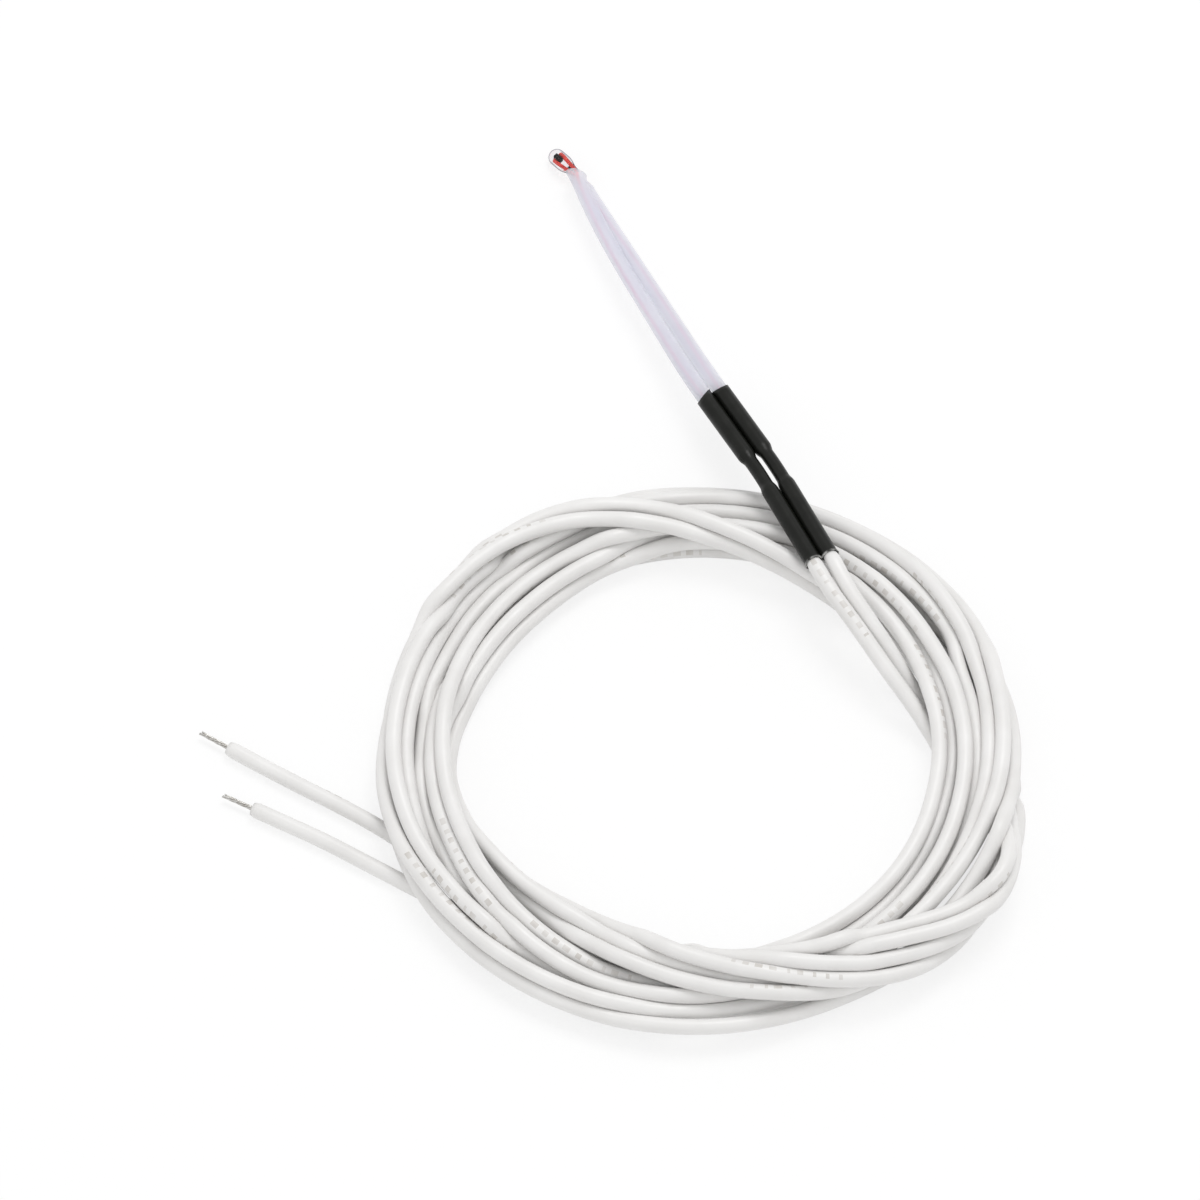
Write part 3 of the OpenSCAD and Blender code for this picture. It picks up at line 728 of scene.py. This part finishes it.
def insulation_material():
    """White insulation with a worn line of faint dashes in short groups, as printed wire has."""
    m = Shader("insulation", Roughness=0.38, IOR=1.48)
    white = m.ramp(m.noise(260, 4), (0.3, (0.765, 0.755, 0.742)), (0.7, (0.82, 0.812, 0.802)))
    along = m.attribute("along")
    spot = m.math("DIVIDE", along, DASH_PERIOD)
    chance = m.node("ShaderNodeTexWhiteNoise")
    chance.noise_dimensions = "1D"
    m.links.new(m.math("FLOOR", spot), chance.inputs["W"])
    group = m.math("LESS_THAN", m.math("MODULO", along, GROUP_PERIOD), GROUP_LEN)
    dash_share = m.math("MULTIPLY_ADD", chance.outputs["Value"], DASH_VARIES, DASH_LEAST)
    dash = m.math("LESS_THAN", m.math("FRACT", spot), dash_share)
    band = m.math("LESS_THAN", m.math("ABSOLUTE", m.attribute("across")), DASH_BAND)
    front = m.math("GREATER_THAN", m.attribute("facing"), 0.0)
    shown = m.math("MULTIPLY", m.math("MULTIPLY", group, dash), m.math("MULTIPLY", band, front))
    ink = m.ramp(m.noise(500, 2), (0.35, (0.2,) * 3), (0.65, (0.5,) * 3))
    m.feed("Base Color", m.mix(m.math("MULTIPLY", shown, ink), white, (0.4, 0.36, 0.31)))
    m.vary("Roughness", 900, 0.32, 0.46)
    m.bump(m.noise(1400, 3), 0.012 * MM, 0.6)
    return m.material


def heat_shrink_material():
    """Satin black shrunk tube with faint lengthwise drag marks, and a patchy pale band at the mouth that is a
    painted highlight of light caught by the cut edge.
    """
    m = Shader("heat_shrink", Roughness=0.36, IOR=1.46)
    m.base.inputs["Specular IOR Level"].default_value = 0.28
    black = m.ramp(m.noise(700, 4), (0.3, (0.0045, 0.005, 0.0038)), (0.75, (0.0095, 0.01, 0.008)))
    # Painted highlight: a pale grey band at the mouth, broken into patches by noise, stands in for light
    # caught by the cut edge
    patchy_glint = m.ramp(m.noise(1300, 2), (0.42, (0.0,) * 3), (0.58, (0.75,) * 3))
    painted_rim = m.math("MULTIPLY", m.attribute("painted_rim"), patchy_glint)
    m.feed("Base Color", m.mix(painted_rim, black, (0.62, 0.62, 0.6)))
    m.vary("Roughness", 1100, 0.28, 0.4)
    drag = m.noise(900, 4, 0.6, m.place((1, 0.12, 1)))
    m.bump(m.math("ADD", drag, m.noise(2600, 2)), 0.02 * MM, 0.7)
    return m.material


def sleeve_material():
    """Milky thin tube that lets the lead inside show as a soft pink line."""
    m = Shader("sleeve", Roughness=0.28, IOR=1.36)
    m.vary("Base Color", 300, (0.87, 0.895, 0.965), (0.92, 0.94, 0.99))
    m.bump(m.noise(1000, 3, 0.5, m.place((1, 0.15, 1))), 0.01 * MM, 0.5)
    clear = m.node("ShaderNodeBsdfTransparent", Color=(0.985, 0.99, 1, 1))
    glow = m.node("ShaderNodeBsdfTranslucent", Color=(0.95, 0.965, 1, 1))
    body = m.node("ShaderNodeMixShader", Fac=0.5, i1=m.base.outputs[0], i2=glow.outputs[0])
    through = m.node("ShaderNodeMixShader", Fac=0.5, i1=body.outputs[0], i2=clear.outputs[0])
    m.links.new(through.outputs[0], m.output.inputs["Surface"])
    return m.material


def glass_material():
    """Clear fused glass with a faint mauve tint and a darker outline, which shows on a white floor; the
    outline is painted shade, a dark layer where the surface turns away.
    """
    m = Shader("bead_glass", Roughness=0.02, IOR=1.42)
    m.base.inputs["Transmission Weight"].default_value = 1
    m.vary("Base Color", 900, (0.96, 0.955, 0.975), (0.99, 0.985, 1), detail=2)
    m.bump(m.noise(1500, 2), 0.004 * MM, 0.3)
    # Painted shade: a dark mauve diffuse layer, mixed in where the surface turns away from the view, draws
    # the glass's outline
    edge = m.node("ShaderNodeLayerWeight", Blend=0.5).outputs["Facing"]
    painted_rim = m.node("ShaderNodeBsdfDiffuse", Color=(0.13, 0.11, 0.16, 1))
    share = m.ramp(edge, (0.52, (0,) * 3), (0.72, (0.72,) * 3))
    with_painted_outline = m.node("ShaderNodeMixShader", Fac=share, i1=m.base.outputs[0], i2=painted_rim.outputs[0])
    m.links.new(with_painted_outline.outputs[0], m.output.inputs["Surface"])
    return m.material


def lead_material():
    """Copper-clad wire, red with oxide in the glass and bright pink where the sleeve covers it."""
    m = Shader("lead_wire", Roughness=0.4)
    red = m.ramp(
        m.noise(2200, 4), (0.3, (0.8, 0.035, 0.025)), (0.62, (0.97, 0.07, 0.05)), (0.8, (0.98, 0.16, 0.12)))
    pink = m.ramp(m.noise(1500, 3), (0.3, (0.98, 0.42, 0.56)), (0.7, (1, 0.56, 0.66)))
    m.feed("Base Color", m.mix(m.attribute("oxide"), pink, red))
    m.vary("Roughness", 3500, 0.3, 0.5)
    m.bump(m.noise(5000, 2), 0.006 * MM, 0.6)
    return m.material


def chip_material():
    """Dark sintered ceramic."""
    m = Shader("chip", Roughness=0.7)
    m.base.inputs["Specular IOR Level"].default_value = 0.15
    m.vary("Base Color", 6000, 0.002, 0.008, detail=4, stops=(0.3, 0.75))
    m.vary("Roughness", 5000, 0.45, 0.7)
    m.bump(m.noise(9000, 3), 0.008 * MM, 0.8)
    return m.material


def tin_material():
    """Tinned copper strand, dulled in places."""
    m = Shader("tinned_strand", Roughness=0.3, Metallic=1)
    m.vary("Base Color", 2500, (0.42, 0.4, 0.37), (0.72, 0.71, 0.69), detail=4)
    m.vary("Roughness", 3500, 0.24, 0.45)
    m.bump(m.noise(4000, 3), 0.008 * MM, 0.6)
    return m.material


def solder_material():
    """Bright solder that has set unevenly."""
    m = Shader("solder", Roughness=0.3, Metallic=1)
    m.vary("Base Color", 1800, (0.5, 0.5, 0.51), (0.7, 0.7, 0.71), detail=4)
    m.vary("Roughness", 2500, 0.2, 0.45)
    m.bump(m.noise(1800, 3), 0.02 * MM, 0.7)
    return m.material


def seen_directly(m):
    """1 for rays that show the surface itself, in a mirror or through glass too."""
    path = m.node("ShaderNodeLightPath")
    straight = m.math("MAXIMUM", path.outputs["Is Camera Ray"], path.outputs["Is Glossy Ray"])
    return m.math("MAXIMUM", straight, path.outputs["Is Transmission Ray"])


# How much of the floor's look is plain white
FLOOR_WHITE = 0.78


def floor_material():
    """Pale floor that shows nearly white and keeps a soft shadow."""
    m = Shader("floor", Roughness=0.9)
    m.base.inputs["Specular IOR Level"].default_value = 0.0
    m.vary("Base Color", 6, 0.94, 0.95, detail=2)
    white = m.node("ShaderNodeEmission", Strength=1.0)
    share = m.math("MULTIPLY", seen_directly(m), FLOOR_WHITE)
    floor = m.node("ShaderNodeMixShader", Fac=share, i1=m.base.outputs[0], i2=white.outputs[0])
    m.links.new(floor.outputs[0], m.output.inputs["Surface"])
    return m.material


# Probe

# Slanted cuts at the sleeve end of the black tubes: tilt about X, then turn about Z
SHRINK_CUT = {LEFT: (21, 27), RIGHT: (30, 1)}
CUT_REACH = 2.5 * MM
# How far in from the mouth the painted highlight of the cut edge fades out
PAINTED_GLINT_FADE = 0.22 * MM

# Rings along each stretch of a black tube
CURVE_RINGS = 8
LOWER_RINGS = 14
NECK_RINGS = 10
UPPER_RINGS = 16


def shrink_outline():
    """Distance along the tube from its mouth and outer radius there."""
    top = LOWER_RUN + NECK_LEN
    shares = [k / CURVE_RINGS for k in range(CURVE_RINGS + 1)]
    outline = [(share * LIP_LEN, LOWER_R + (LIP_D / 2 - LOWER_R) * (1 - share) ** 2) for share in shares[:-1]]
    outline += [(y, LOWER_R) for y in steps_between(LIP_LEN, WIRE_GRIP, LOWER_RINGS)[:-1]]
    outline += [(WIRE_GRIP + share * SHOULDER_LEN, ease(LOWER_R, THROAT_R, share)) for share in shares]
    outline += [(LOWER_RUN + y, THROAT_R) for y in steps_between(0, NECK_LEN, NECK_RINGS)[1:]]
    outline += [(top + share * SHOULDER_LEN, ease(THROAT_R, UPPER_R, share)) for share in shares[1:]]
    outline += [(top + y, UPPER_R) for y in steps_between(SHOULDER_LEN, UPPER_RUN, UPPER_RINGS)[1:]]
    return outline


def shrink_place(side, s, x, z):
    """Point of a tube at a distance s from its mouth, offset x and z from its axis, in the part's frame."""
    offset = Vector((side * PAIR_HALF + x, 0, z))
    if s <= LOWER_RUN:
        return from_mouth @ (offset + Vector((0, s, 0)))
    if s <= LOWER_RUN + NECK_LEN:
        return past_throat((s - LOWER_RUN) / NECK_LEN) @ offset
    return past_throat() @ (offset + Vector((0, s - LOWER_RUN - NECK_LEN, 0)))


def make_heat_shrink(side, material):
    """Black tube, cut at a slant over the sleeve and pressed flat against the other along the wire."""
    tilt, turn = (math.radians(a) for a in SHRINK_CUT[side])
    end = LOWER_RUN + NECK_LEN + UPPER_RUN

    def ring(s, r):
        points = []
        fade = max(0, 1 - (end - s) / CUT_REACH)
        for a in angles_round(TUBE_SIDES):
            x, z = r * math.cos(a), r * math.sin(a)
            cut = math.tan(turn) * x - math.tan(tilt) / math.cos(turn) * z
            if s < WIRE_GRIP and side * x < 0:
                x = side * max(side * x * PAIR_HALF / LOWER_R, HAIR - PAIR_HALF)
            points.append(shrink_place(side, s + fade * cut, x, z))
        return points

    outline = shrink_outline()
    points = [p for s, r in outline for p in ring(s, r)]
    points += [p for s, r in reversed(outline) for p in ring(s, r - SHRINK_WALL)]
    faces = skin_faces(2 * len(outline), TUBE_SIDES, closed=True)
    tube = new_piece(f"shrink_tube_{SIDES[side]}", points, faces, material)
    # Share of the painted highlight at each ring, full at the mouth and gone past the fade
    near_mouth = [max(0, 1 - s / PAINTED_GLINT_FADE) for s, _ in outline]
    store(tube, "painted_rim", np.repeat(near_mouth + near_mouth[::-1], TUBE_SIDES))
    return replace(outward(tube), "heat_shrink", f"heat_shrink_{SIDES[side]}")


# Past PINCH_START from the black tubes the soft sleeves press against each other, fully after PINCH_RUN
PINCH_START = 0.35 * MM
PINCH_RUN = 0.4 * MM

# The sleeves' even stretch, which starts here and ends where the bead's end is cut back
EVEN_START = 0.8 * MM
EVEN_RINGS = 50
CUT_RUN = 1 * MM

# The right-hand side of each sleeve is cut back further, in a long slant
SLANT_REACH = 3.2 * MM
SLANT_DEPTH = {LEFT: 0.25 * MM, RIGHT: 0.95 * MM}


def make_sleeve(side, material):
    """Milky tube whose near side swells until it meets the other sleeve."""
    stations = [-SLEEVE_GRIP, 0, PINCH_START, PINCH_START + PINCH_RUN / 2]
    stations += steps_between(EVEN_START, SLEEVE_RUN - CUT_RUN, EVEN_RINGS)
    stations += [SLEEVE_RUN - CUT_RUN / 2, SLEEVE_RUN]

    def ring(t, r):
        centre = sleeve_axis(side, t)
        cut = -SLEEVE_CUT * max(0, (t - SLEEVE_RUN) / CUT_RUN + 1)
        apart = (centre - sleeve_axis(-side, t)).length / 2 - HAIR
        swell = min(1, max(0, t - PINCH_START) / PINCH_RUN) * max(0, apart / (SLEEVE_D / 2) - 1)
        slant = SLANT_DEPTH[side] * max(0, 1 - (SLEEVE_RUN - t) / SLANT_REACH)
        points = []
        for a in angles_round(TUBE_SIDES):
            wide = 1 + swell * max(0, -side * math.cos(a))
            back = Vector((0, slant * max(0, math.cos(a)), 0))
            around = r * Vector((wide * math.cos(a), cut * math.cos(a), math.sin(a)))
            points.append(from_upper_end @ (centre + around - back))
        return points

    points = [p for t in stations for p in ring(t, SLEEVE_D / 2)]
    points += [p for t in reversed(stations) for p in ring(t, SLEEVE_BORE / 2)]
    faces = skin_faces(2 * len(stations), TUBE_SIDES, closed=True)
    sleeve = new_piece(f"milky_sleeve_{SIDES[side]}", points, faces, material)
    return replace(outward(sleeve), "sleeve", f"sleeve_{SIDES[side]}")


# A lead bows sideways in its sleeve by most of the play there. In the last of LEAD_CLOSES equal parts of
# the sleeve it closes in on the other lead
LEAD_SLACK = 0.8 * (SLEEVE_BORE - LEAD_D) / 2
LEAD_CLOSES = 6
LEAD_CLOSING = 0.9
LEAD_POINTS = 24

# Where the leads start in the splice, lie in the bead's neck and end along the chip
LEAD_DIP = NECK_LEN / 2 - 0.2 * MM
NECK_SIDE = LEAD_R + 0.015 * MM
CHIP_FAR = BEAD_LEN - BEAD_R + 0.05 * MM
CHIP_NEAR = CHIP_FAR - CHIP_LEN
CHIP_SIDE = CHIP_T / 2 + LEAD_R
CHIP_ROUND = 0.03 * MM
LEAD_END = CHIP_FAR - 0.2 * CHIP_LEN
OXIDE_FADE = 2 * MM


def lead_point(side, t):
    """Middle of a lead inside its sleeve, at a distance t from the black tube."""
    share = t / SLEEVE_RUN
    towards = (neck_centre - Vector((0, NECK_GAP, 0)) - sleeve_axis(side, SLEEVE_RUN)).normalized()
    close = LEAD_CLOSING * ease(0, 1, max(0, LEAD_CLOSES * share - (LEAD_CLOSES - 1)))
    slack = Vector((side * math.sin(math.pi * share), 0, 0)) + close * Vector((towards.x, 0, towards.z))
    return sleeve_axis(side, t) + LEAD_SLACK * slack


def lead_in_glass(side, y):
    turn = math.radians(LEAD_PLANE)
    out = side * (NECK_SIDE + (CHIP_SIDE - NECK_SIDE) * min(1, max(0, y / CHIP_NEAR)))
    return in_neck @ Vector((out * math.cos(turn), y, out * math.sin(turn)))


def make_lead(side, material):
    """Lead from the middle of its splice through the sleeve and the glass to the chip."""
    points = [Vector((side * PAIR_HALF, y, 0)) for y in (-UPPER_RUN - LEAD_DIP, -UPPER_RUN / 2)]
    points += [lead_point(side, t) for t in steps_between(0, SLEEVE_RUN, LEAD_POINTS)]
    points += [lead_in_glass(side, y) for y in (-LEAD_R, CHIP_NEAR / 2, CHIP_NEAR, LEAD_END)]
    line, along = spaced(spline([from_upper_end @ p for p in points], LEAD_STEP), LEAD_STEP)
    rings = rings_along(line, np.full(len(line), LEAD_R), LEAD_SIDES, (1, 0, 0))
    faces = skin_faces(len(line), LEAD_SIDES)
    lead = new_piece(f"lead_{SIDES[side]}", rings.reshape(-1, 3), faces, material)
    in_sleeve = along[-1] - along - BEAD_LEN
    store(lead, "oxide", np.repeat(np.clip(1 - in_sleeve / OXIDE_FADE, 0, 1), LEAD_SIDES))
    return replace(outward(lead), "lead_wire", f"bead_lead_{SIDES[side]}")


# The glass has a worn edge at its neck, and its tip is a flat of a few hundredths of a mm
EDGE_DROP = 0.08 * MM
EDGE_RUN = 0.1 * MM
TIP_ANGLE = 88
SWELL_RINGS = 24
TIP_RINGS = 16


def make_bead(material):
    """Drop of glass that swells from its neck to a round head."""
    outline = [(0, NECK_D / 2 - EDGE_DROP)]
    for share in steps_between(0, 1, SWELL_RINGS + 1):
        y = EDGE_RUN + share * (HEAD_LEN - BEAD_STRAIGHT - EDGE_RUN)
        outline.append((y, ease(NECK_D / 2, BEAD_R, share)))
    for a in steps_between(0, math.radians(TIP_ANGLE), TIP_RINGS):
        outline.append((HEAD_LEN + BEAD_R * math.sin(a), BEAD_R * math.cos(a)))
    points = [from_neck @ Vector((r * math.cos(a), y, r * math.sin(a)))
              for y, r in outline for a in angles_round(BEAD_SIDES)]
    bead = new_piece("bead", points, skin_faces(len(outline), BEAD_SIDES), material)
    return replace(outward(bead), "bead_glass", "glass_bead")


def make_chip(material):
    """Wafer with worn edges, in the plane of the leads."""
    bm = bmesh.new()
    bmesh.ops.create_cube(bm, size=1)
    bmesh.ops.scale(bm, vec=(CHIP_T, CHIP_LEN, CHIP_W), verts=bm.verts)
    bmesh.ops.bevel(bm, geom=bm.edges, offset=CHIP_ROUND, segments=2, affect="EDGES")
    place = from_neck @ rotation(-LEAD_PLANE, "Y") @ Matrix.Translation((0, CHIP_FAR - CHIP_LEN / 2, 0))
    bmesh.ops.transform(bm, matrix=place, verts=bm.verts)
    mesh = bpy.data.meshes.new("chip_wafer")
    bm.to_mesh(mesh)
    bm.free()
    mesh.materials.append(material)
    return replace(add_object("chip_wafer", mesh), "chip", "sensing_chip")


# Stripped ends: strands that start inside the insulation, lie pressed together and end unevenly
STRANDS = 7
STRAND_D = CONDUCTOR_D / 3
STRAND_LAY = 6 * MM
STRAND_START = 0.3 * MM
STRAND_PRESSED = 0.96
STRAND_SHORT = 0.05 * MM
STRAND_SHORTER = 0.06 * MM
STRAND_STEPS = 28
UP = Vector((0, 0, 1))


def strand_line(strand, start, way):
    """Centreline of one strand. The last one is the straight middle that the others twist round."""
    across = way.cross(UP)
    length = BARE_LEN - (STRAND_SHORT + STRAND_SHORTER * (strand * 3 % STRANDS))
    out = 0 if strand == STRANDS - 1 else STRAND_D * STRAND_PRESSED
    line = []
    for s in steps_between(0, length, STRAND_STEPS + 1):
        angle = 2 * math.pi * (strand / (STRANDS - 1) + s / STRAND_LAY)
        offset = out * (math.cos(angle) * across + math.sin(angle) * UP)
        line.append(tuple(start + way * (s - STRAND_START) + offset))
    return np.array(line)


def make_stripped_end(side, start, way, material):
    """Seven tinned strands, six of them twisted round the middle one."""
    points, faces = [], []
    for strand in range(STRANDS):
        line = strand_line(strand, start, way)
        rings = rings_along(line, np.full(len(line), STRAND_D / 2), STRAND_SIDES, UP)
        first = len(points)
        points += list(rings.reshape(-1, 3))
        faces += [tuple(first + i for i in face) for face in skin_faces(len(line), STRAND_SIDES)]
    end = new_piece(f"strands_{SIDES[side]}", points, faces, material)
    return replace(outward(end), "tinned_strand", f"stripped_end_{SIDES[side]}")


# Surroundings

# The floor lies a hair under the part, so that what touches it stays seen
FLOOR_REACH = 1.5
FLOOR_DROP = 0.02 * MM

# The world's white light and the lamps: place from the view's middle, width in metres and power in watts
WORLD_STRENGTH = 0.76
LAMPS = {
    "key": ((0.28, 0.2, 0.8), 0.4, 2.5),
    "fill": ((-0.6, -0.3, 0.6), 0.6, 0.6),
}


def make_floor():
    corners = [(-1, -1), (1, -1), (1, 1), (-1, 1)]
    points = [(FLOOR_REACH * x, FLOOR_REACH * y, 0) for x, y in corners]
    floor = new_piece("floor", points, [(0, 1, 2, 3)], floor_material(), smooth=False)
    floor.location.z = -FLOOR_DROP


def make_lights():
    world = bpy.data.worlds.new("studio")
    bpy.context.scene.world = world
    world.use_nodes = True
    background = world.node_tree.nodes["Background"]
    background.inputs["Color"].default_value = (1, 1, 1, 1)
    background.inputs["Strength"].default_value = WORLD_STRENGTH
    for name, (place, width, power) in LAMPS.items():
        data = bpy.data.lights.new(name, "AREA")
        data.size = width
        data.energy = power
        lamp = add_object(name, data)
        lamp.location = VIEW_TARGET + Vector(place)
        lamp.rotation_euler = (-Vector(place)).to_track_quat("-Z", "Y").to_euler()


# Assembly

def make_twin_lead(tin):
    """Both wires with their stripped ends."""
    for side, (wire, line, along) in make_wires(insulation_material()).items():
        way = Vector(line[-1] - line[-4]).normalized()
        strands = make_stripped_end(side, Vector(line[-1]), way, tin)
        print(SIDES[side], "wire", round(float(along[-1]), 4), "m")


def make_probe():
    for material, build in (
            (heat_shrink_material(), make_heat_shrink),
            (sleeve_material(), make_sleeve),
            (lead_material(), make_lead)):
        for side in SIDES:
            build(side, material)
    make_bead(glass_material())
    make_chip(chip_material())


def dress_hidden_solids(tin):
    """The solder joints and the conductors in them stay as the solids that they are."""
    solder = solder_material()
    for side in SIDES.values():
        for node, material in ((f"solder_joint_{side}", solder), (f"conductor_{side}", tin)):
            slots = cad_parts[node].data.materials
            slots.clear()
            slots.append(material)


def main():
    bpy.context.scene.view_settings.view_transform = "Standard"
    make_camera()
    tin = tin_material()
    make_twin_lead(tin)
    make_probe()
    dress_hidden_solids(tin)
    make_floor()
    make_lights()


main()
